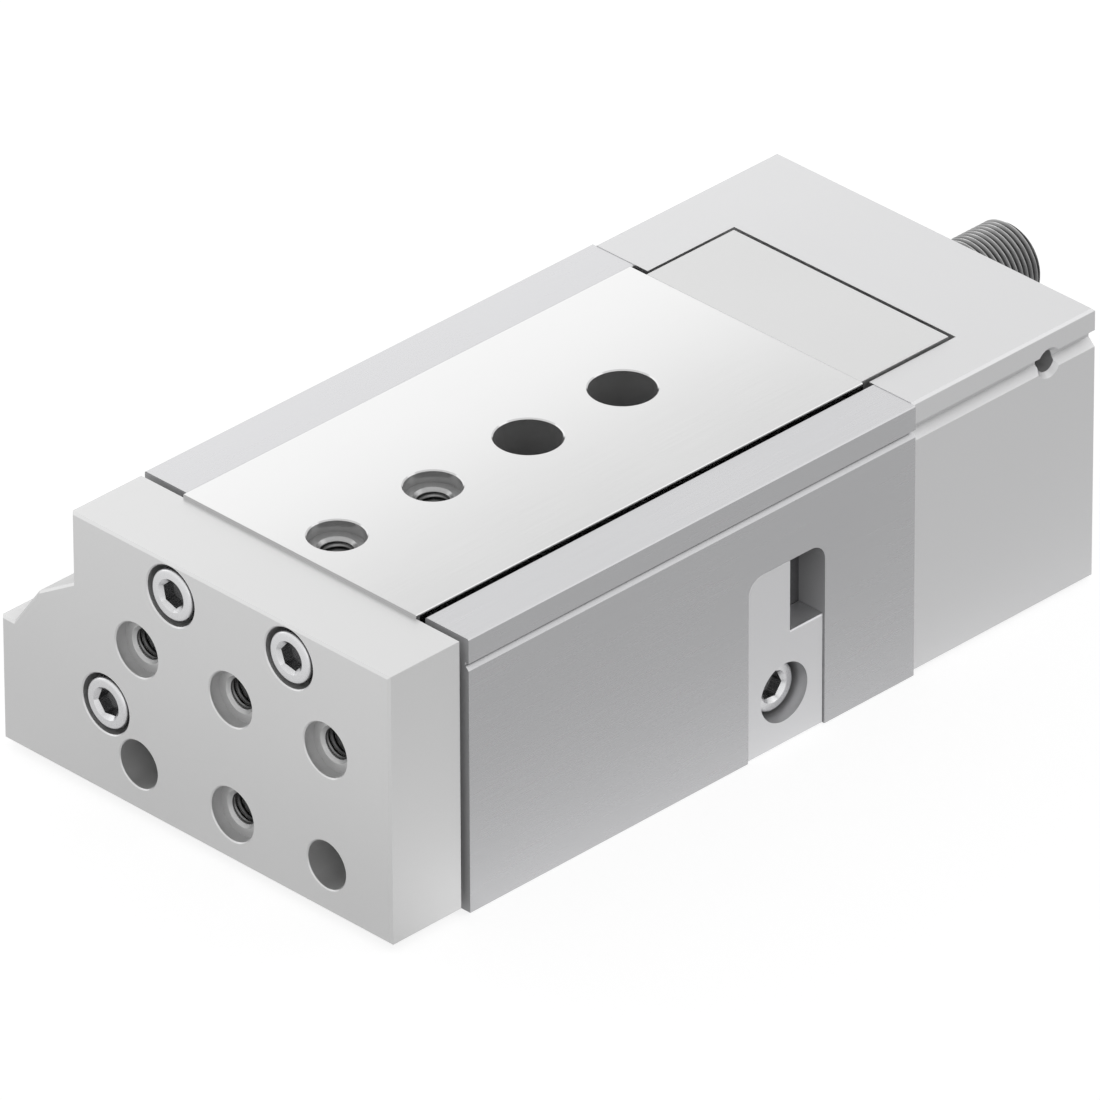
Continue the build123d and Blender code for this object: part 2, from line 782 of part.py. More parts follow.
# Front stop: a rod from the yoke, whose collar meets the buffer at the end of the stroke
stop_rod_hole = stop_rod_d + 2 * thread_gap
stop_nut_key = (stop_bore - 2 * nut_play) * sqrt(3) / 2
stop_rod = turned(stop_axis, [(yoke_back - stop_socket, stop_rod_back, stop_rod_d)])
stop_collar = turned(
    stop_axis,
    [(collar_front, collar_back, stop_bore - 2 * collar_play)],
    [(collar_front, collar_back, stop_rod_hole)],
)
stop_lock_nut = hex_nut(
    collar_back + collar_nut_high, stop_axis, stop_nut_key, collar_nut_high, stop_rod_hole
)
stop_buffer = turned(
    stop_axis,
    [(stop_shoulder, stop_shoulder + buffer_length, stop_bore - 2 * running_gap)],
    [(stop_shoulder, stop_shoulder + buffer_length, stop_rod_d + 2 * running_gap)],
)
with BuildPart() as stop_plug:
    with BuildSketch(section(stop_plug_back)):
        with Locations(stop_axis):
            Circle(stop_bore / 2 - thread_gap)
    extrude(amount=stop_plug_length)
    with BuildSketch(section(stop_plug_back)):
        with Locations(stop_axis):
            RegularPolygon(m5_key / 2, 6, major_radius=False)
    extrude(amount=stop_plug_length / 2, mode=Mode.SUBTRACT)

# Rear damper: a threaded body locked in the cover, with a plunger that meets the slide's block
threads = int((damper_out - damper_nut_high - 2 * damper_end) / damper_pitch)
thread_start = damper_back - damper_end - threads * damper_pitch
crest = damper_d / 2
root = crest - damper_thread_deep
with BuildPart() as damper_body:
    with BuildSketch(Plane.YZ):
        with BuildLine():
            outline = [(damper_front, damper_z), (damper_front, damper_z + crest)]
            for turn in range(threads):
                turn_y = thread_start + turn * damper_pitch
                outline.append((turn_y, damper_z + crest))
                outline.append((turn_y + damper_pitch / 2, damper_z + root))
            outline.append((damper_back - damper_end, damper_z + crest))
            outline.append((damper_back, damper_z + crest - damper_end))
            outline.append((damper_back, damper_z))
            Polyline(*outline, close=True)
        make_face()
    revolve(axis=Axis((0, 0, damper_z), (0, 1, 0)))
    with Locations(rear_view(damper_back)):
        with Locations(damper_axis):
            Hole(adjuster_d / 2 + thread_gap, adjuster_deep)
    with Locations(section(damper_front)):
        with Locations(damper_axis):
            Hole(plunger_d / 2 + running_gap, plunger_back - damper_front + plunger_spare)

damper_nut = hex_nut(
    cover_back + damper_nut_high, damper_axis, damper_d + 2 * damper_nut_wall, damper_nut_high,
    damper_d + 2 * thread_gap,
)
with BuildPart() as damper_adjuster:
    with BuildSketch(section(damper_back)):
        with Locations(damper_axis):
            Circle(adjuster_d / 2)
    extrude(amount=adjuster_deep)
    with BuildSketch(section(damper_back)):
        with Locations(damper_axis):
            Rectangle(adjuster_d, adjuster_slot)
    extrude(amount=adjuster_slot, mode=Mode.SUBTRACT)

plunger_shoulder = plunger_front + plunger_head_high
damper_plunger = turned(damper_axis, [(plunger_shoulder, plunger_back, plunger_d)])
damper_head = turned(damper_axis, [(plunger_front, plunger_shoulder, plunger_head_d)])

pieces = {
    "housing": housing,
    "rear_cover": rear_cover,
    "cover_screws": cover_screws,
    "side_insert": side_insert,
    "insert_screw": insert_screw,
    "yoke_plate": yoke,
    "yoke_screws": yoke_screws,
    "yoke_dowels": yoke_dowels,
    "rod_screw": rod_screw,
    "slide": slide,
    "slide_end_block": slide_end_block,
    "end_block_screws": end_block_screws,
    **guides,
    "rod_cap": rod_cap,
    "rod_seal": rod_seal,
    "cap_o_ring": cap_o_ring,
    "cap_clip": cap_clip,
    "cylinder_plug": cylinder_plug,
    "plug_o_ring": plug_o_ring,
    "plug_clip": plug_clip,
    "piston": piston,
    "piston_seals": piston_seals,
    "piston_magnet": piston_magnet,
    "piston_nut": piston_nut,
    "piston_rod": piston_rod,
    "stop_rod": stop_rod,
    "stop_collar": stop_collar,
    "stop_lock_nut": stop_lock_nut,
    "stop_buffer": stop_buffer,
    "stop_plug": stop_plug,
    "damper_body": damper_body,
    "damper_nut": damper_nut,
    "damper_adjuster": damper_adjuster,
    "damper_plunger": damper_plunger,
    "damper_head": damper_head,
}

os.makedirs("parts", exist_ok=True)
for node, piece in pieces.items():
    piece.part.label = node
    export_step(piece.part, f"parts/{node}.step")
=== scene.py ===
"""Looks of the pneumatic slide table: finishes, fasteners, threads, studio and camera.

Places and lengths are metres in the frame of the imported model: X across, +Y to the rear, Z up.
Fasteners and threads are drawn in millimetres, which MM turns into metres.
"""
import json
import math

import bpy
from mathutils import Matrix, Vector


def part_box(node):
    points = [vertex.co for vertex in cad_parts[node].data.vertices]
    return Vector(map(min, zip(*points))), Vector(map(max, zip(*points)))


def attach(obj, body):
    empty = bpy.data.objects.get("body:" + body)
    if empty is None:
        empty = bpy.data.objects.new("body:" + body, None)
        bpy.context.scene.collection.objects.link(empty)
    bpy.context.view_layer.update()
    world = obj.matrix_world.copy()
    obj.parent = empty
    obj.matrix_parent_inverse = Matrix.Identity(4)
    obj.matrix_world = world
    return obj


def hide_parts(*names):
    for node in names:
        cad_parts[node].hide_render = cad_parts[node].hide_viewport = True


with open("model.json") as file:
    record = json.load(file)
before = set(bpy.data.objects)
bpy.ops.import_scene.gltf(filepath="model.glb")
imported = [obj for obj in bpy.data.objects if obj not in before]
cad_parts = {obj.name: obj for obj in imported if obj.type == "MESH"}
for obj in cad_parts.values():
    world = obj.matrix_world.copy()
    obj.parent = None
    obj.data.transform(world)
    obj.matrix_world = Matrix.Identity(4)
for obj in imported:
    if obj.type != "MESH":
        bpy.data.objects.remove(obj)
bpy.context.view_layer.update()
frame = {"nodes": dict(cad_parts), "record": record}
nodes = frame["nodes"]
MM = 0.001

# Camera: solved from the edges of the part in the photograph
CAMERA_EYE = (1.66912643, -1.66744398, 1.45383373)
CAMERA_AZIMUTH = 45.12382
CAMERA_ELEVATION = 31.21964
CAMERA_ROLL = -0.22904
CAMERA_LENS = 601.0314
CAMERA_SENSOR = 36.0

# Screws in millimetres: head across, head height, key, shank across, as the solids have them
M5_SCREW = (8.5, 5.0, 4.0, 5.0)
M4_SCREW = (7.0, 4.0, 3.0, 4.0)
M3_SCREW = (5.5, 3.0, 2.5, 3.0)

# Screws by node: body, size, way that the head faces, and each one's turn of the socket in degrees
FRONT = (0, -1, 0)
BACK = (0, 1, 0)
RIGHT = (1, 0, 0)
LEFT = (-1, 0, 0)
UP = (0, 0, 1)
DOWN = (0, 0, -1)
SCREWS = {
    "yoke_screws": ("slide_body", M5_SCREW, FRONT, {"left": 12, "right": 20}),
    "rod_screw": ("slide_body", M5_SCREW, FRONT, {"left": 38}),
    "insert_screw": ("housing_body", M5_SCREW, RIGHT, {"right": 24}),
    "end_block_screws": ("slide_body", M4_SCREW, BACK, {"left": 7, "right": 33}),
    "cover_screws": (
        "housing_body", M3_SCREW, BACK,
        {"low_left": 5, "low_right": 31, "high_left": 48, "high_right": 17},
    ),
}

# Threads in holes, in millimetres: bore of the solid, height of the ridges, pitch, threaded depth
M6_THREAD = (5.2, 0.22, 1.0, 9.0)
PORT_THREAD = (4.2, 0.18, 0.8, 5.0)
PORT_MOUTH = 0.3
THREAD_SKIN = 0.03
THREAD_FLAT = 0.12

# Damper in millimetres, as the solids have it
DAMPER_PITCH = 1.0
DAMPER_CREST = 7.0
DAMPER_THREAD_DEEP = 0.5
DAMPER_NUT_HIGH = 4.0
DAMPER_NUT_KEY = 17.0
RUNNING_GAP = 0.05

# Damper's nut in degrees: its chamfer against its face, and its turn about the thread
NUT_CHAMFER = 30
NUT_TURN = 30

# Meshes: steps around a screw or the damper, around a thread in a hole, and a sharp edge's angle
SEGMENTS = 96
HOLE_SEGMENTS = 64
SHARP_ANGLE = 35.0

# Surfaces: cells per metre of stains and grit, and the stretch of a grain drawn along Y
CLOUDS = 28.0
GRIT = 2600.0
EVEN = (1, 1, 1)
DRAWN = (1.0, 0.02, 1.0)

# Noise stays between these two values, and tones and wear follow it from end to end
NOISE_LOW = 0.3
NOISE_HIGH = 0.7

# Reach in metres of the painted shade in holes and sockets, and the samples that it takes
HOLE_REACH = 0.008
SOCKET_REACH = 0.004
OPENNESS_SAMPLES = 3

# Openness deep in a hole, where a wall begins to shine like the faces, and on an open face
HOLE_DEEP = 0.15
HOLE_SHINE = 0.45
HOLE_OPEN = 0.85
SOCKET_DEEP = 0.4
SOCKET_OPEN = 0.95
# Tone of the painted shade deep in a screw's socket
SOCKET_PAINTED_SHADE = 0.25

# Cosines between a face's normal and an axis where it counts as looking across it and along it
ACROSS = 0.72
ALONG = 0.95


def node_tree(name):
    """A new material, its tree and its shader."""
    material = bpy.data.materials.new(name)
    material.use_nodes = True
    tree = material.node_tree
    shader = tree.nodes["Principled BSDF"]
    return material, tree, shader


def link(tree, source, target):
    tree.links.new(source, target)


def math_node(tree, operation, first, second=0.0):
    """A Math node on one or two inputs, each a socket or a number."""
    node = tree.nodes.new("ShaderNodeMath")
    node.operation = operation
    for socket, value in zip(node.inputs, (first, second)):
        if isinstance(value, (int, float)):
            socket.default_value = value
        else:
            link(tree, value, socket)
    return node.outputs[0]


def multiplied(tree, first, second):
    """Two values times each other, each a socket or a number."""
    return math_node(tree, "MULTIPLY", first, second)


def added(tree, first, second):
    """Two values together, each a socket or a number."""
    return math_node(tree, "ADD", first, second)


def ranged(tree, value, low, high, from_low=0.0, from_high=1.0):
    """Value mapped from one range onto another."""
    node = tree.nodes.new("ShaderNodeMapRange")
    node.inputs["From Min"].default_value = from_low
    node.inputs["From Max"].default_value = from_high
    node.inputs["To Min"].default_value = low
    node.inputs["To Max"].default_value = high
    link(tree, value, node.inputs["Value"])
    return node.outputs["Result"]


def varied(tree, value, middle, spread, from_low=NOISE_LOW, from_high=NOISE_HIGH):
    """A number that goes by a share of itself below and above its middle as value rises."""
    return ranged(tree, value, middle * (1 - spread), middle * (1 + spread), from_low, from_high)


def place(tree, scale=EVEN):
    """The surface's own coordinates, stretched by scale."""
    coordinates = tree.nodes.new("ShaderNodeTexCoord")
    mapping = tree.nodes.new("ShaderNodeMapping")
    mapping.inputs["Scale"].default_value = scale
    link(tree, coordinates.outputs["Object"], mapping.inputs["Vector"])
    return mapping.outputs["Vector"]


def from_axis(tree):
    """Distance from the piece's own Z axis, in metres."""
    length = tree.nodes.new("ShaderNodeVectorMath")
    length.operation = "LENGTH"
    link(tree, place(tree, (1, 1, 0)), length.inputs[0])
    return length.outputs["Value"]


def components(tree, vector):
    """X, Y and Z of a vector, by name."""
    parts = tree.nodes.new("ShaderNodeSeparateXYZ")
    link(tree, vector, parts.inputs[0])
    return parts.outputs


def facing(tree, axis, along, across):
    """One number on faces that look along an axis of the piece, another on those that look across it."""
    coordinates = tree.nodes.new("ShaderNodeTexCoord")
    share = math_node(tree, "ABSOLUTE", components(tree, coordinates.outputs["Normal"])[axis])
    return ranged(tree, share, across, along, ACROSS, ALONG)


def noise(tree, vector, per_metre, detail=3.0, roughness=0.5):
    """Noise of a size given as cells per metre, from 0 to 1."""
    node = tree.nodes.new("ShaderNodeTexNoise")
    node.inputs["Scale"].default_value = per_metre
    node.inputs["Detail"].default_value = detail
    node.inputs["Roughness"].default_value = roughness
    link(tree, vector, node.inputs["Vector"])
    return node.outputs["Fac"]


def blended(tree, first, second, share):
    """Two values mixed, with that share of the first."""
    return added(tree, multiplied(tree, first, share), multiplied(tree, second, 1 - share))


def openness(tree, reach):
    """1 on open faces, falling towards 0 in the piece's own holes and inner corners."""
    node = tree.nodes.new("ShaderNodeAmbientOcclusion")
    node.only_local = True
    node.samples = OPENNESS_SAMPLES
    node.inputs["Distance"].default_value = reach
    return node.outputs["AO"]


def scaled(tree, colour, factor):
    """A colour socket times a factor socket."""
    node = tree.nodes.new("ShaderNodeVectorMath")
    node.operation = "SCALE"
    link(tree, colour, node.inputs[0])
    link(tree, factor, node.inputs["Scale"])
    return node.outputs["Vector"]


def tinted(tree, colour, value, spread):
    """Colour that goes a little darker and lighter with value."""
    ramp = tree.nodes.new("ShaderNodeValToRGB")
    dark, light = ramp.color_ramp.elements
    dark.position = NOISE_LOW
    light.position = NOISE_HIGH
    dark.color = [c * (1 - spread) for c in colour] + [1]
    light.color = [min(1.0, c * (1 + spread)) for c in colour] + [1]
    link(tree, value, ramp.inputs["Fac"])
    return ramp.outputs["Color"]


def bumped(tree, shader, height, distance):
    """Small relief from a height socket; distance in metres."""
    bump = tree.nodes.new("ShaderNodeBump")
    bump.inputs["Strength"].default_value = 1.0
    bump.inputs["Distance"].default_value = distance
    link(tree, height, bump.inputs["Height"])
    link(tree, bump.outputs["Normal"], shader.inputs["Normal"])


def metal(
    name, colour, rough, grain, relief, spread, along=EVEN, recess_painted_shade_and_finish=(0.3, 0.5, 1.0), painted_side_shading=1.0, ends=None
):
    """Metal with a fine grain, in cells per metre: along stretches it, relief is its depth in metres.

    The tuple for holes is the painted shade deep in its holes, as a tone, then their roughness and metal
    share. The side factor paints light or shade on its upright faces.
    ends is the roughness and metal share of its sawn front and rear faces.
    """
    material, tree, shader = node_tree(name)
    fine = noise(tree, place(tree, along), grain, roughness=0.6)
    cloudy = noise(tree, place(tree), CLOUDS, detail=2.0)
    tone = blended(tree, fine, cloudy, share=0.6)
    painted_hole_shade, deep_rough, deep_metal = recess_painted_shade_and_finish
    open_share = openness(tree, HOLE_REACH)
    # Painted shade: the base colour darkens deep in the piece's own holes and inner corners
    shade = ranged(tree, open_share, painted_hole_shade, 1.0, HOLE_DEEP, HOLE_OPEN)
    # Painted light and shade: upright faces come out lighter or darker than those that look up
    if painted_side_shading != 1.0:
        shade = multiplied(tree, shade, facing(tree, "Z", 1.0, painted_side_shading))
    link(tree, scaled(tree, tinted(tree, colour, tone, spread), shade), shader.inputs["Base Color"])
    worn = varied(tree, tone, rough, spread=0.14)
    bored = ranged(tree, open_share, deep_rough, 0.0, HOLE_DEEP, HOLE_OPEN)
    roughness = math_node(tree, "MAXIMUM", worn, bored)
    share = ranged(tree, open_share, deep_metal, 1.0, HOLE_SHINE, HOLE_OPEN)
    if ends:
        end_rough, end_metal = ends
        roughness = math_node(tree, "MAXIMUM", roughness, facing(tree, "Y", end_rough, 0.0))
        share = multiplied(tree, share, facing(tree, "Y", end_metal, 1.0))
    link(tree, roughness, shader.inputs["Roughness"])
    if deep_metal != 1.0 or ends:
        link(tree, share, shader.inputs["Metallic"])
    else:
        shader.inputs["Metallic"].default_value = 1.0
    bumped(tree, shader, fine, relief)
    return material


def turned_metal(name, colour, rough, ring_pitch, relief, spread):
    """Turned metal with painted shade in its sockets: rings about the piece's own Z axis, as a lathe
    leaves them.
    """
    material, tree, shader = node_tree(name)
    shader.inputs["Metallic"].default_value = 1.0
    turns = multiplied(tree, from_axis(tree), math.tau / ring_pitch)
    rings = ranged(tree, math_node(tree, "SINE", turns), 0, 1, -1, 1)
    grit = noise(tree, place(tree), GRIT, detail=2.0)
    tone = blended(tree, rings, grit, share=0.4)
    # Painted shade: the base colour darkens deep in the socket
    shade = ranged(tree, openness(tree, SOCKET_REACH), SOCKET_PAINTED_SHADE, 1.0, SOCKET_DEEP, SOCKET_OPEN)
    link(tree, scaled(tree, tinted(tree, colour, tone, spread), shade), shader.inputs["Base Color"])
    worn = varied(tree, tone, rough, spread=0.2, from_low=0.2, from_high=0.8)
    link(tree, worn, shader.inputs["Roughness"])
    bumped(tree, shader, tone, relief)
    return material


def threaded_metal(name, root, crest, rough, root_radius, crest_radius, painted_side_shade, relief):
    """Blackened metal whose thread about the piece's own Z axis is painted darker in its roots and
    lighter at its crests: painted shade in the valleys.

    root and crest are the tones there, and the side factor paints shade on what looks to the sides, so
    that the faces looking up come out lighter.
    """
    material, tree, shader = node_tree(name)
    shader.inputs["Metallic"].default_value = 1.0
    fine = noise(tree, place(tree), GRIT)
    # Painted shade: darker towards the thread's roots and lighter at its crests; end faces take the
    # crest tone
    painted_thread_shade = ranged(tree, from_axis(tree), root, crest, root_radius, crest_radius)
    tone = math_node(tree, "MAXIMUM", painted_thread_shade, facing(tree, "Z", crest, 0.0))
    # Painted light and shade: faces that look to the sides come out darker than those that look up
    tone = multiplied(tree, tone, facing(tree, "Y", 1.0, painted_side_shade))
    grey = tinted(tree, (1, 1, 1), fine, spread=0.05)
    link(tree, scaled(tree, grey, tone), shader.inputs["Base Color"])
    link(tree, varied(tree, fine, rough, spread=0.15), shader.inputs["Roughness"])
    bumped(tree, shader, fine, relief)
    return material


def dull(name, colour, rough, grain, relief, spread):
    """Rubber or plastic with a fine moulded grain."""
    material, tree, shader = node_tree(name)
    fine = noise(tree, place(tree), grain)
    link(tree, tinted(tree, colour, fine, spread), shader.inputs["Base Color"])
    link(tree, varied(tree, fine, rough, spread=0.1), shader.inputs["Roughness"])
    bumped(tree, shader, fine, relief)
    return material


# Finishes: colour, roughness, grain (pitch of the rings if turned), relief and spread of tone,
# then what sets each apart
# Painted light and shade: the side factors below make upright faces lighter or darker than the tops, and
# the tuples for holes darken deep in them
FINISHES = {
    "anodised_grey": metal(
        "anodised_grey", (0.55, 0.55, 0.56), 0.26, 3200.0, 0.8e-6, 0.02, DRAWN,
        painted_side_shading=0.92, ends=(0.7, 0.3),
    ),
    "cover_grey": metal(
        "cover_grey", (0.625, 0.625, 0.63), 0.4, 2600.0, 4.0e-6, 0.015,
        recess_painted_shade_and_finish=(0.6, 0.6, 0.2), painted_side_shading=1.08,
    ),
    "insert_grey": metal(
        "insert_grey", (0.70, 0.70, 0.71), 0.46, 2600.0, 4.0e-6, 0.015,
        recess_painted_shade_and_finish=(0.6, 0.6, 0.3),
    ),
    "yoke_aluminium": metal(
        "yoke_aluminium", (0.64, 0.64, 0.64), 0.4, 2400.0, 4.0e-6, 0.015,
        recess_painted_shade_and_finish=(0.75, 0.6, 0.0), painted_side_shading=1.1,
    ),
    "slide_bright": metal(
        "slide_bright", (0.64, 0.64, 0.64), 0.14, 3000.0, 0.6e-6, 0.01, DRAWN,
        recess_painted_shade_and_finish=(0.35, 0.6, 0.0),
    ),
    "block_grey": metal("block_grey", (0.63, 0.63, 0.63), 0.44, 2600.0, 3.0e-6, 0.012),
    # Painted shade: threads in holes take a darker colour than the metal round them, for the shade deep
    # in the hole
    "tapped": metal("tapped", (0.36, 0.36, 0.36), 0.3, 2600.0, 1.0e-6, 0.02),
    "steel_screw": turned_metal("steel_screw", (0.74, 0.74, 0.75), 0.28, 0.12e-3, 3.0e-6, 0.03),
    "ground_steel": metal("ground_steel", (0.72, 0.72, 0.74), 0.22, 3000.0, 0.8e-6, 0.02, DRAWN),
    "spring_steel": metal("spring_steel", (0.30, 0.30, 0.32), 0.4, 2600.0, 3.0e-6, 0.05),
    "cage_brass": metal("cage_brass", (0.76, 0.62, 0.34), 0.32, 2600.0, 2.0e-6, 0.03, DRAWN),
    "turned_aluminium": metal("turned_aluminium", (0.76, 0.76, 0.78), 0.3, 2800.0, 2.0e-6, 0.02),
    "seal_rubber": dull("seal_rubber", (0.05, 0.05, 0.05), 0.6, 3000.0, 6.0e-6, 0.2),
    "magnet_black": dull("magnet_black", (0.15, 0.15, 0.16), 0.55, 2400.0, 6.0e-6, 0.1),
    "chromed_rod": metal("chromed_rod", (0.80, 0.80, 0.82), 0.08, 3000.0, 0.2e-6, 0.01),
    "damper_steel": threaded_metal(
        "damper_steel", 0.08, 0.62, 0.3, (DAMPER_CREST - DAMPER_THREAD_DEEP) * MM, DAMPER_CREST * MM,
        painted_side_shade=0.55, relief=2.0e-6,
    ),
    "white_nylon": dull("white_nylon", (0.88, 0.87, 0.83), 0.45, 2000.0, 4.0e-6, 0.03),
}
NODE_FINISH = {
    "anodised_grey": ["housing"],
    "cover_grey": ["rear_cover"],
    "insert_grey": ["side_insert"],
    "yoke_aluminium": ["yoke_plate"],
    "slide_bright": ["slide"],
    "block_grey": ["slide_end_block"],
    "ground_steel": [
        "outer_rail_left", "outer_rail_right", "inner_rail_left", "inner_rail_right",
        "balls_left", "balls_right", "yoke_dowels", "stop_rod",
    ],
    "spring_steel": ["cap_clip", "plug_clip", "stop_lock_nut", "piston_nut", "stop_plug"],
    "cage_brass": ["ball_cage_left", "ball_cage_right", "damper_adjuster"],
    "turned_aluminium": ["rod_cap", "cylinder_plug", "piston", "stop_collar"],
    "seal_rubber": ["rod_seal", "cap_o_ring", "plug_o_ring", "piston_seals", "stop_buffer"],
    "magnet_black": ["piston_magnet"],
    "chromed_rod": ["piston_rod", "damper_plunger"],
    "white_nylon": ["damper_head"],
}


def dress_nodes():
    """Gives each CAD node that stays its finish."""
    for finish, names in NODE_FINISH.items():
        for name in names:
            piece = nodes[name]
            piece.data.materials.clear()
            piece.data.materials.append(FINISHES[finish])


def hexagon(key):
    """Radius of a hexagon with that width across flats, by angle."""
    return lambda angle: key / 2 / math.cos((angle + math.pi / 6) % (math.pi / 3) - math.pi / 6)


def ridged(radius, deep, count):
    """Radius of a knurled side, by angle."""
    return lambda angle: radius - deep * (0.5 + 0.5 * math.cos(count * angle))


def spun_mesh(name, rings, segments=SEGMENTS):
    """A mesh about Z from rings of (height, radius), in millimetres; a radius may depend on the angle.

    A radius of 0 closes the mesh with one point.
    """
    points = []
    rows = []
    for height, radius in rings:
        if radius == 0:
            rows.append([len(points)])
            points.append((0, 0, height * MM))
            continue
        row = []
        for step in range(segments):
            angle = math.tau * step / segments
            reach = radius(angle) if callable(radius) else radius
            row.append(len(points))
            points.append((reach * MM * math.cos(angle), reach * MM * math.sin(angle), height * MM))
        rows.append(row)
    faces = []
    for upper, lower in zip(rows, rows[1:]):
        for step in range(segments):
            following = (step + 1) % segments
            if len(upper) == 1:
                faces.append((upper[0], lower[step], lower[following]))
            elif len(lower) == 1:
                faces.append((upper[step], lower[0], upper[following]))
            else:
                faces.append((upper[step], lower[step], lower[following], upper[following]))
    mesh = bpy.data.meshes.new(name)
    mesh.from_pydata(points, [], faces)
    mesh.validate()
    mesh.set_sharp_from_angle(angle=math.radians(SHARP_ANGLE))
    for polygon in mesh.polygons:
        polygon.use_smooth = True
    return mesh


def standing(origin, direction, spin=0.0):
    """Frame whose Z axis is direction, turned about it by spin degrees."""
    turn = Vector(direction).to_track_quat("Z", "Y").to_matrix().to_4x4()
    return Matrix.Translation(origin) @ turn @ Matrix.Rotation(math.radians(spin), 4, "Z")


def set_piece(name, mesh, matrix, body, finish, stands_for=()):
    """Places a piece made here, on its body, in place of its CAD nodes."""
    piece = bpy.data.objects.new(name, mesh)
    bpy.context.scene.collection.objects.link(piece)
    piece.matrix_world = matrix
    if not mesh.materials:
        mesh.materials.append(FINISHES[finish])
    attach(piece, body)
    if stands_for:
        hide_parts(*stands_for)


def socket_screw_mesh(name, size, length):
    """A socket-head screw with its head's seat at Z 0: rounded rim, coned hexagon, knurled side."""
    head, high, key, shank = size
    rim = 0.07 * head
    rim_steps = 5
    knurled = ridged(head / 2, deep=0.012 * head, count=48)
    knurl_top = high - rim * 1.3
    under_knurl = head / 2 * 0.985
    foot = head / 2 * 0.95
    foot_break = rim * 0.6
    mouth = key / math.sqrt(3) * 1.18
    cone_foot = key / 2 * 0.98
    cone_slope = 0.8
    cone = (mouth - cone_foot) * cone_slope
    socket_floor = high * 0.5
    drill = key / 2 * 0.97
    drill_point = key * 0.14
    tip = shank / 2 * 0.85
    tip_break = 0.1 * shank
    rings = [
        (socket_floor - drill_point, 0),
        (socket_floor, drill),
        (socket_floor, hexagon(key)),
        (high - cone, hexagon(key)),
        (high, mouth),
        (high, head / 2 - rim),
    ]
    for step in range(1, rim_steps + 1):
        turn = math.pi / 2 * step / rim_steps
        rings.append((high - rim * (1 - math.cos(turn)), head / 2 - rim * (1 - math.sin(turn))))
    rings += [
        (knurl_top, knurled),
        (rim, knurled),
        (foot_break, under_knurl),
        (0, foot),
        (0, shank / 2),
        (-length + tip_break, shank / 2),
        (-length, tip),
        (-length, 0),
    ]
    return spun_mesh(name, rings)


def islands(node):
    """Centres of the separate solids of a CAD node, from the boxes of its loose parts."""
    mesh = nodes[node].data
    parent = list(range(len(mesh.vertices)))

    def root(index):
        while parent[index] != index:
            parent[index] = parent[parent[index]]
            index = parent[index]
        return index

    same = {}
    for vertex in mesh.vertices:
        key = tuple(round(c / MM, 3) for c in vertex.co)
        first = same.setdefault(key, vertex.index)
        parent[root(vertex.index)] = root(first)
    for edge in mesh.edges:
        parent[root(edge.vertices[0])] = root(edge.vertices[1])
    groups = {}
    for vertex in mesh.vertices:
        groups.setdefault(root(vertex.index), []).append(vertex.co)
    centres = []
    for group in groups.values():
        low = Vector([min(c[i] for c in group) for i in range(3)])
        high = Vector([max(c[i] for c in group) for i in range(3)])
        centres.append((low + high) / 2)
    return sorted(centres, key=lambda c: (round(c.z, 4), round(c.x, 4)))


def dress_screws():
    """Replaces every plain screw by a detailed one; its node's box gives seat and length."""
    for node, (body, size, direction, spins) in SCREWS.items():
        head_high = size[1]
        axis = Vector(direction)
        foot, top = sorted(axis.dot(corner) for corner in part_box(node))
        seat = top - head_high * MM
        mesh = socket_screw_mesh(node, size, (top - foot) / MM - head_high)
        for centre, (hand, spin) in zip(islands(node), spins.items()):
            matrix = standing(centre + axis * (seat - axis.dot(centre)), direction, spin)
            set_piece(f"{node}_{hand}", mesh, matrix, body, "steel_screw", [node])


def thread_wave(turns):
    """Height of a thread from root, 0, to crest, 1, by turns along it, with both cut off flat."""
    share = abs((turns % 1.0) * 2 - 1)
    return min(1.0, max(0.0, (share - THREAD_FLAT) / (1 - 2 * THREAD_FLAT)))


def inner_thread_mesh(name, thread):
    """Threads in a hole from Z 0 down: ridges on the bore's wall that fade at both ends."""
    core, deep, pitch, length = thread
    per_turn = 12
    rows = int(length / pitch * per_turn)
    fade_rate = 1.5
    outer = core / 2 + THREAD_SKIN
    rings = [(0.0, outer)]
    for row in range(1, rows):
        height = -length * row / rows
        fade = min(1.0, -height / pitch * fade_rate, (length + height) / pitch * fade_rate)

        def radius(angle, height=height, fade=fade):
            return outer - (THREAD_SKIN + deep * fade * thread_wave(height / pitch + angle / math.tau))

        rings.append((height, radius))
    rings.append((-length, outer))
    mesh = spun_mesh(name, rings, HOLE_SEGMENTS)
    mesh.flip_normals()
    # The threads take the darker finish that paints the hole's shade
    mesh.materials.append(FINISHES["tapped"])
    return mesh


def hole_places(mount, across=None, along=None):
    """Places of a mount's holes: across and along are the ways of its spacing_x and spacing_y."""
    places = [Vector(mount["pos_m"])]
    for way, spacing in ((along, "spacing_y_mm"), (across, "spacing_x_mm")):
        if way:
            half = Vector(way) * mount["dims"][spacing] / 2 * MM
            places = [place_at + side * half for place_at in places for side in (-1, 1)]
    return places


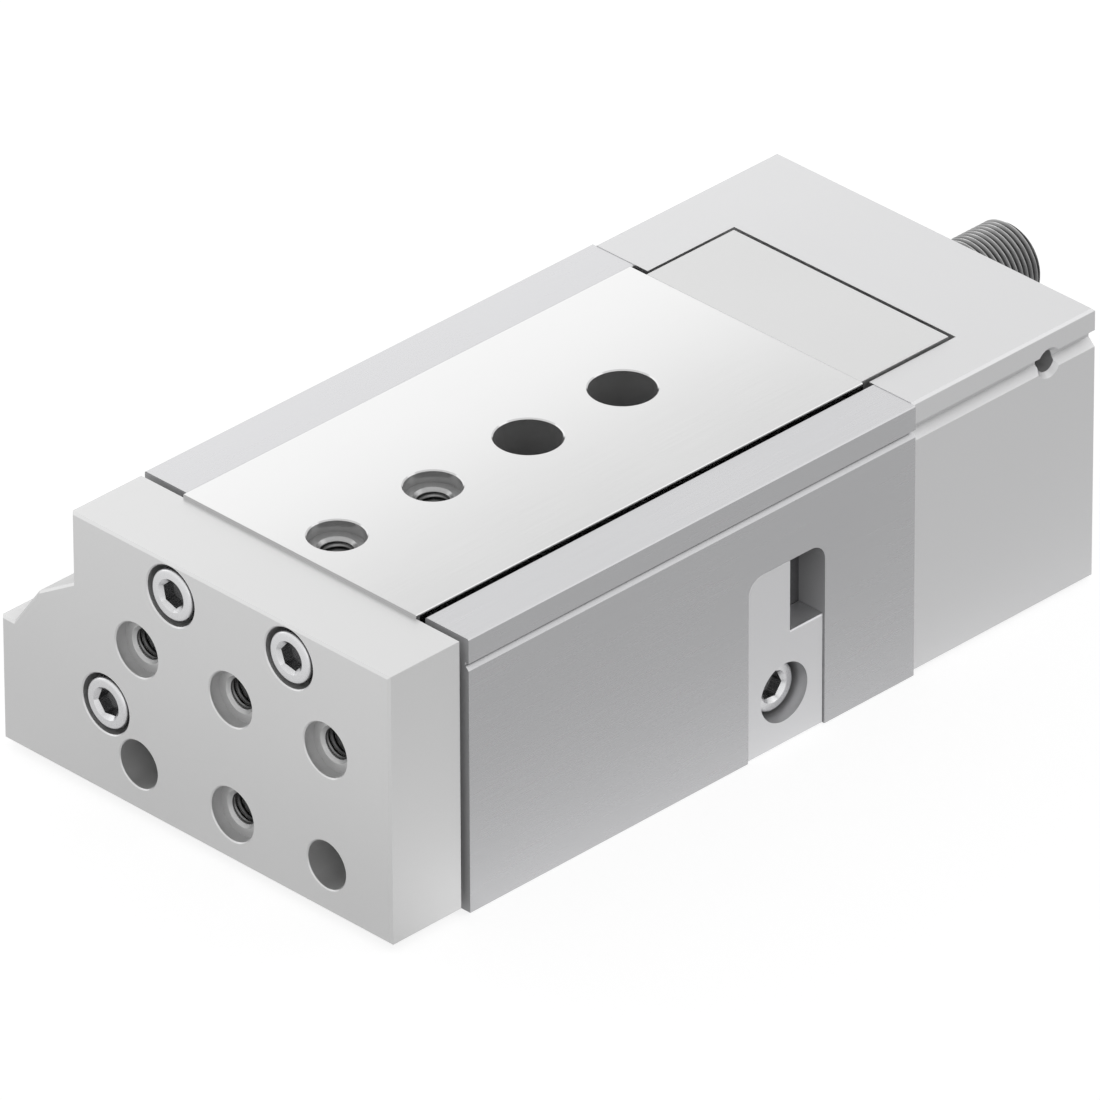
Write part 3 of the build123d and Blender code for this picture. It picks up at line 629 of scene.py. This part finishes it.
def dress_threads():
    """Threads in the load holes, the mounting holes and the air ports."""
    mounts = {mount["name"]: mount for mount in frame["record"]["mounts"]}
    on_top = hole_places(mounts["slide_threads"], along=BACK)
    level = hole_places(mounts["yoke_threads_across"], across=RIGHT)
    upright = hole_places(mounts["yoke_threads_upright"], along=UP)
    in_front = [place_at for pair in zip(level, upright) for place_at in pair]
    below = hole_places(mounts["base_threads"], across=RIGHT, along=BACK)
    groups = (
        ("slide_thread", on_top, UP, "slide_body", "slide_bright"),
        ("yoke_thread", in_front, FRONT, "slide_body", "yoke_aluminium"),
        ("base_thread", below, DOWN, "housing_body", "anodised_grey"),
    )
    for name, places, direction, body, finish in groups:
        mesh = inner_thread_mesh(name, M6_THREAD)
        for index, origin in enumerate(places, 1):
            set_piece(f"{name}_{index}", mesh, standing(origin, direction), body, finish)
    port = inner_thread_mesh("port_thread", PORT_THREAD)
    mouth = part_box("housing")[0].x + PORT_MOUTH * MM
    for name in ("air_port_extend", "air_port_retract"):
        x, y, z = mounts[name]["pos_m"]
        matrix = standing((mouth, y, z), LEFT)
        set_piece(f"{name}_thread", port, matrix, "housing_body", "anodised_grey")


def bore_of(node):
    """Radius of a running bore around a round node that lies along Y, in millimetres."""
    low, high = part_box(node)
    return (high.z - low.z) / 2 / MM + RUNNING_GAP


def dress_damper_body():
    """The damper's body, rear face at Z 0: adjuster's bore, thread into the nut, plunger's bore."""
    low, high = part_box("damper_body")
    adjuster_low, adjuster_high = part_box("damper_adjuster")
    plunger_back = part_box("damper_plunger")[1].y
    nut_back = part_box("damper_nut")[1].y
    behind_plunger = 1.0
    under_nut = 1.0
    crest = (high.z - low.z) / 2 / MM
    length = (high.y - low.y) / MM
    adjuster_deep = (adjuster_high.y - adjuster_low.y) / MM
    plunger_deep = (plunger_back - low.y) / MM + behind_plunger
    smooth = (nut_back - low.y) / MM - under_nut
    adjuster = bore_of("damper_adjuster")
    plunger = bore_of("damper_plunger")
    bore_break = 0.25
    foot_break = 0.4
    edge = 1.0
    shoulder = crest - edge * 0.72
    shoulder_deep = edge * 0.25
    start = -edge * 0.3
    rise = 1.05
    run_out = 0.3
    per_turn = 16
    rows = int((length - smooth + start) / DAMPER_PITCH * per_turn)
    rings = [
        (-adjuster_deep, 0),
        (-adjuster_deep, adjuster),
        (-bore_break, adjuster),
        (0, adjuster + bore_break),
        (0, crest - edge),
        (-shoulder_deep, shoulder),
    ]
    for row in range(rows + 1):
        height = start - row / per_turn * DAMPER_PITCH

        def radius(angle, height=height):
            root = 1 - thread_wave(height / DAMPER_PITCH + angle / math.tau)
            return min(crest - DAMPER_THREAD_DEEP * root, shoulder + (start - height) * rise)

        rings.append((height, radius))
    rings += [
        (start - rows / per_turn * DAMPER_PITCH - run_out, crest),
        (-length + foot_break, crest),
        (-length, crest - foot_break),
        (-length, plunger),
        (-length + plunger_deep, plunger),
        (-length + plunger_deep, 0),
    ]
    mesh = spun_mesh("damper_body", rings)
    matrix = standing((0, high.y, (low.z + high.z) / 2), BACK)
    set_piece("threaded_damper", mesh, matrix, "housing_body", "damper_steel", ["damper_body"])


def dress_damper_nut():
    """The damper's lock nut, seat at Z 0, with the corners of its rear face chamfered."""
    low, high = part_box("damper_body")
    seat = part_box("damper_nut")[0].y
    six = hexagon(DAMPER_NUT_KEY)
    flat = DAMPER_NUT_KEY / 2
    corner = flat / math.cos(math.pi / 6)
    face = flat * 0.97
    hole = (high.z - low.z) / 2 / MM + RUNNING_GAP
    hole_break = 0.5
    slope = math.tan(math.radians(NUT_CHAMFER))
    fall = (corner - face) * slope
    steps = 10
    rings = [
        (DAMPER_NUT_HIGH - hole_break, hole),
        (DAMPER_NUT_HIGH, hole + hole_break),
        (DAMPER_NUT_HIGH, face),
    ]
    for step in range(1, steps + 1):
        down = fall * step / steps
        reach = face + down / slope
        rings.append((DAMPER_NUT_HIGH - down, lambda angle, reach=reach: min(reach, six(angle))))
    rings += [(0.0, six), (0.0, hole), (DAMPER_NUT_HIGH - hole_break, hole)]
    mesh = spun_mesh("damper_nut", rings)
    matrix = standing((0, seat, (low.z + high.z) / 2), BACK, NUT_TURN)
    set_piece("chamfered_nut", mesh, matrix, "housing_body", "steel_screw", ["damper_nut"])


def softbox(name, position, target, size, power):
    """An area lamp that the camera doesn't see."""
    light = bpy.data.lights.new(name, "AREA")
    light.shape = "RECTANGLE"
    light.size, light.size_y = size
    light.energy = power
    lamp = bpy.data.objects.new(name, light)
    bpy.context.scene.collection.objects.link(lamp)
    lamp.location = position
    aim = Vector(target) - Vector(position)
    lamp.rotation_euler = aim.to_track_quat("-Z", "Y").to_euler()
    lamp.visible_camera = False


def seen(tree):
    """1 for rays from the camera, and 1 for rays from gloss and through glass."""
    path = tree.nodes.new("ShaderNodeLightPath")
    reflected = math_node(
        tree, "MAXIMUM", path.outputs["Is Glossy Ray"], path.outputs["Is Transmission Ray"]
    )
    return path.outputs["Is Camera Ray"], reflected


def build_world():
    """An even studio: softer on matt surfaces than the white that the camera and metals see."""
    on_matt = 0.6
    on_view = 1.0
    world = bpy.data.worlds.new("studio")
    bpy.context.scene.world = world
    world.use_nodes = True
    tree = world.node_tree
    background = tree.nodes["Background"]
    background.inputs["Color"].default_value = (1, 1, 1, 1)
    strength = ranged(tree, math_node(tree, "MAXIMUM", *seen(tree)), on_matt, on_view)
    link(tree, strength, background.inputs["Strength"])


def painted_floor_reflections(tree):
    """Painted light on the floor, seen only as metals mirror it: the floor glows, though it is no lamp,
    in pools beside the part, least at its rear, and in front of it, over an even glow.
    """
    plain = 0.46
    flank_glow = 0.42
    rear_share = 0.25
    front_glow = 0.19
    flank_near, flank_far = 0.034, 0.084
    rear_from, rear_to = -0.06, 0.09
    yoke_front, yoke_back = -0.072, -0.052
    front_from, front_to = -0.09, -0.15
    where = components(tree, place(tree))
    # Painted pools of light: beside holds the pool along the flanks, before the one in front
    beside = ranged(tree, math_node(tree, "ABSOLUTE", where["X"]), 1.0, 0.0, flank_near, flank_far)
    beside = multiplied(tree, multiplied(tree, beside, beside), flank_glow)
    rearward = ranged(tree, where["Y"], 1.0, rear_share, rear_from, rear_to)
    behind_front = ranged(tree, where["Y"], 0.0, 1.0, yoke_front, yoke_back)
    beside = multiplied(tree, beside, multiplied(tree, rearward, behind_front))
    before = ranged(tree, where["Y"], 0.0, front_glow, front_from, front_to)
    return added(tree, added(tree, beside, before), plain)


def clear_from_below(tree, shader):
    """Lets a view from under the floor through to the part."""
    geometry = tree.nodes.new("ShaderNodeNewGeometry")
    clear = tree.nodes.new("ShaderNodeBsdfTransparent")
    mixed = tree.nodes.new("ShaderNodeMixShader")
    link(tree, geometry.outputs["Backfacing"], mixed.inputs["Fac"])
    link(tree, shader.outputs["BSDF"], mixed.inputs[1])
    link(tree, clear.outputs["BSDF"], mixed.inputs[2])
    link(tree, mixed.outputs["Shader"], tree.nodes["Material Output"].inputs["Surface"])


def build_floor():
    """A pale floor that takes the object's shadow, looks white beside it and is clear from below."""
    half = 6.0
    drop = 0.0002
    tone = 0.42
    seen_glow = 0.75
    mesh = bpy.data.meshes.new("floor")
    corners = [(-half, -half, 0), (half, -half, 0), (half, half, 0), (-half, half, 0)]
    mesh.from_pydata(corners, [], [(0, 1, 2, 3)])
    floor = bpy.data.objects.new("floor", mesh)
    bpy.context.scene.collection.objects.link(floor)
    floor.location = (0, 0, -drop)
    material, tree, shader = node_tree("pale_floor")
    shader.inputs["Base Color"].default_value = (tone, tone, tone, 1)
    shader.inputs["Roughness"].default_value = 0.9
    shader.inputs["Specular IOR Level"].default_value = 0.0
    shader.inputs["Emission Color"].default_value = (1, 1, 1, 1)
    camera, reflected = seen(tree)
    # Painted light: glow that only reflections see, pooled beside and in front of the part
    gloss = multiplied(tree, reflected, painted_floor_reflections(tree))
    glow = added(tree, multiplied(tree, camera, seen_glow), gloss)
    link(tree, glow, shader.inputs["Emission Strength"])
    clear_from_below(tree, shader)
    mesh.materials.append(material)


def build_lamps():
    """A long strip beside the part, whose upper edge the slide mirrors, a weak fill and a rim."""
    centre = (0, 0, 0.03)
    strip_at = (-0.34, 0.33, 0.203)
    strip_aim = (0.0, 0.33, 0.203)
    softbox("strip", strip_at, strip_aim, size=(1.2, 0.27), power=0.5)
    softbox("fill", (0.9, -0.7, 0.5), centre, size=(0.8, 0.8), power=0.5)
    softbox("rim", (0.52, 0.60, 0.63), centre, size=(0.4, 0.4), power=0.25)


def build_camera():
    """The photograph's viewpoint."""
    data = bpy.data.cameras.new("camera")
    data.sensor_width = CAMERA_SENSOR
    data.lens = CAMERA_LENS
    data.clip_start = 0.1
    data.clip_end = 20.0
    camera = bpy.data.objects.new("camera", data)
    bpy.context.scene.collection.objects.link(camera)
    camera.matrix_world = (
        Matrix.Translation(CAMERA_EYE)
        @ Matrix.Rotation(math.radians(CAMERA_AZIMUTH), 4, "Z")
        @ Matrix.Rotation(math.radians(90 - CAMERA_ELEVATION), 4, "X")
        @ Matrix.Rotation(math.radians(CAMERA_ROLL), 4, "Z")
    )
    bpy.context.scene.camera = camera


build_camera()
dress_nodes()
dress_screws()
dress_threads()
dress_damper_body()
dress_damper_nut()
build_world()
build_floor()
build_lamps()
bpy.context.scene.view_settings.view_transform = "Standard"
